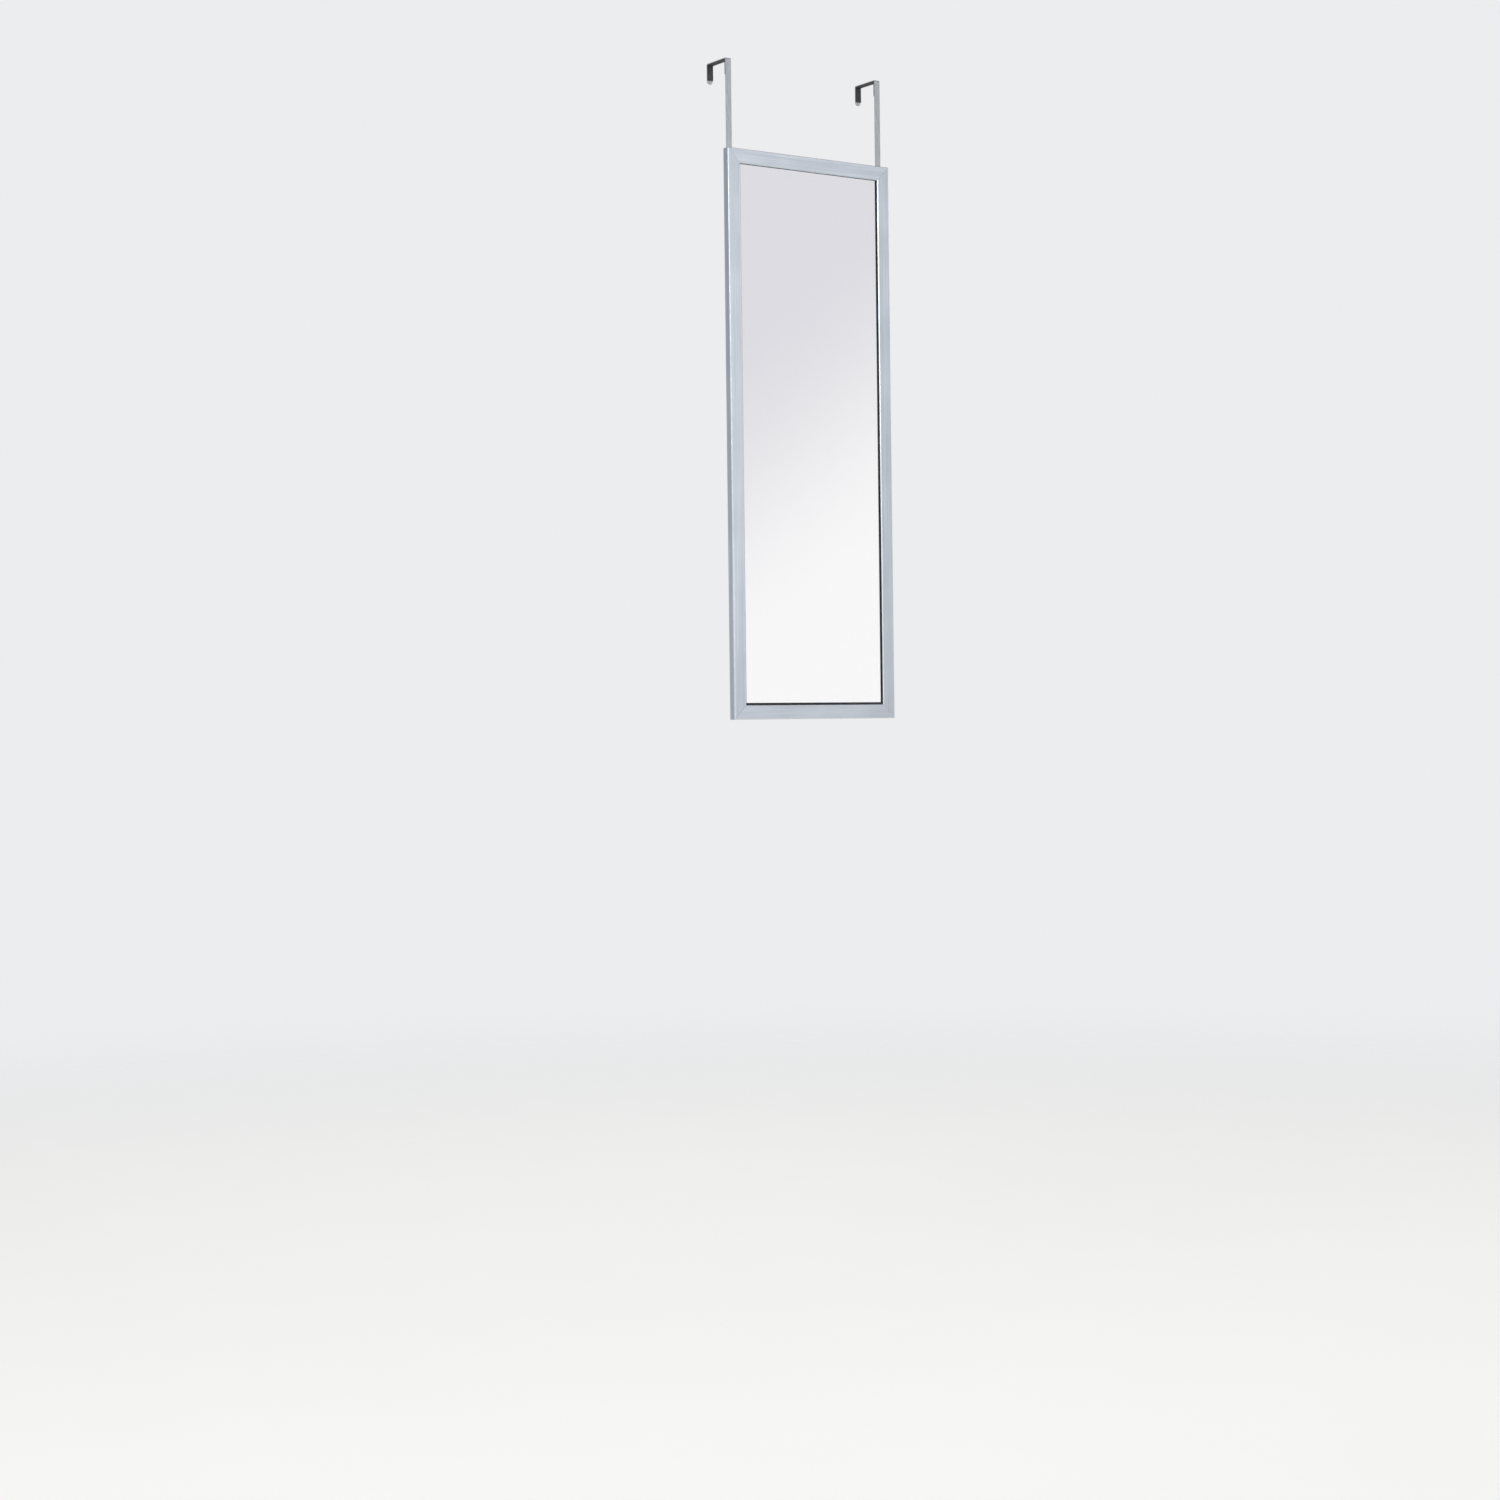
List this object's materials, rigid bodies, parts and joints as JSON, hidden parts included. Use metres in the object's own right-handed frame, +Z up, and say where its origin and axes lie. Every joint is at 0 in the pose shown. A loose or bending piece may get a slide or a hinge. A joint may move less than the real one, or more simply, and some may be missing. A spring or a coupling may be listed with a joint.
{
  "type": "over the door mirror",
  "caption": "Tall framed mirror in a flat brushed silver moulding that hangs from two steel strap hooks on a door's top edge; the straps slide in slots behind the stiles to set its height.",
  "frame": {"origin": "middle of the door leaf's front top edge, between the two hooks: the plane y = 0 is the door's front face and z = 0 is its top edge", "axes": "+Z up, the mirror faces -Y, +X to the right of someone who looks into the mirror, +Y into the door"},
  "size_m": [0.3, 0.0631, 0.9857],
  "materials": {
    "brushed_silver_foil": "fibreboard moulding wrapped in brushed silver foil",
    "clear_glass": "polished float glass",
    "mirror_silver": "silvered, painted on its back",
    "grey_film": "anti-shatter film",
    "white_foam": "closed-cell foam sheet",
    "hardboard": "tempered hardboard, smooth side out",
    "black_foam_tape": "black foam glazing tape",
    "zinc_steel": "zinc plated",
    "bright_steel": "bright spring steel strip",
    "satin_steel": "satin nickel plated strip",
    "dark_foam": "soft closed-cell foam",
    "bumper_rubber": "soft rubber"
  },
  "bodies": {
    "mirror_frame": {"frame_top_rail": "brushed_silver_foil", "frame_bottom_rail": "brushed_silver_foil", "frame_left_stile": "brushed_silver_foil", "frame_right_stile": "brushed_silver_foil", "corner_v_nails": "zinc_steel", "glazing_tape_top": "black_foam_tape", "glazing_tape_bottom": "black_foam_tape", "glazing_tape_left": "black_foam_tape", "glazing_tape_right": "black_foam_tape", "mirror_glass": "clear_glass", "silver_coating": "mirror_silver", "safety_film": "grey_film", "foam_sheet": "white_foam", "backing_board": "hardboard", "retaining_points": "bright_steel", "left_strap_screws": "zinc_steel", "right_strap_screws": "zinc_steel", "lower_left_bumper": "bumper_rubber", "lower_right_bumper": "bumper_rubber"},
    "left_hanger": {"left_hanger_strap": "satin_steel", "left_hook_liner": "dark_foam"},
    "right_hanger": {"right_hanger_strap": "satin_steel", "right_hook_liner": "dark_foam"}
  },
  "joints": [
    {"name": "left_hanger_slide", "type": "slide", "parent": "mirror_frame", "child": "left_hanger", "axis": [0, 0, 1], "range_m": [-0.025, 0.025]},
    {"name": "right_hanger_slide", "type": "slide", "parent": "mirror_frame", "child": "right_hanger", "axis": [0, 0, 1], "range_m": [-0.025, 0.025]}
  ]
}
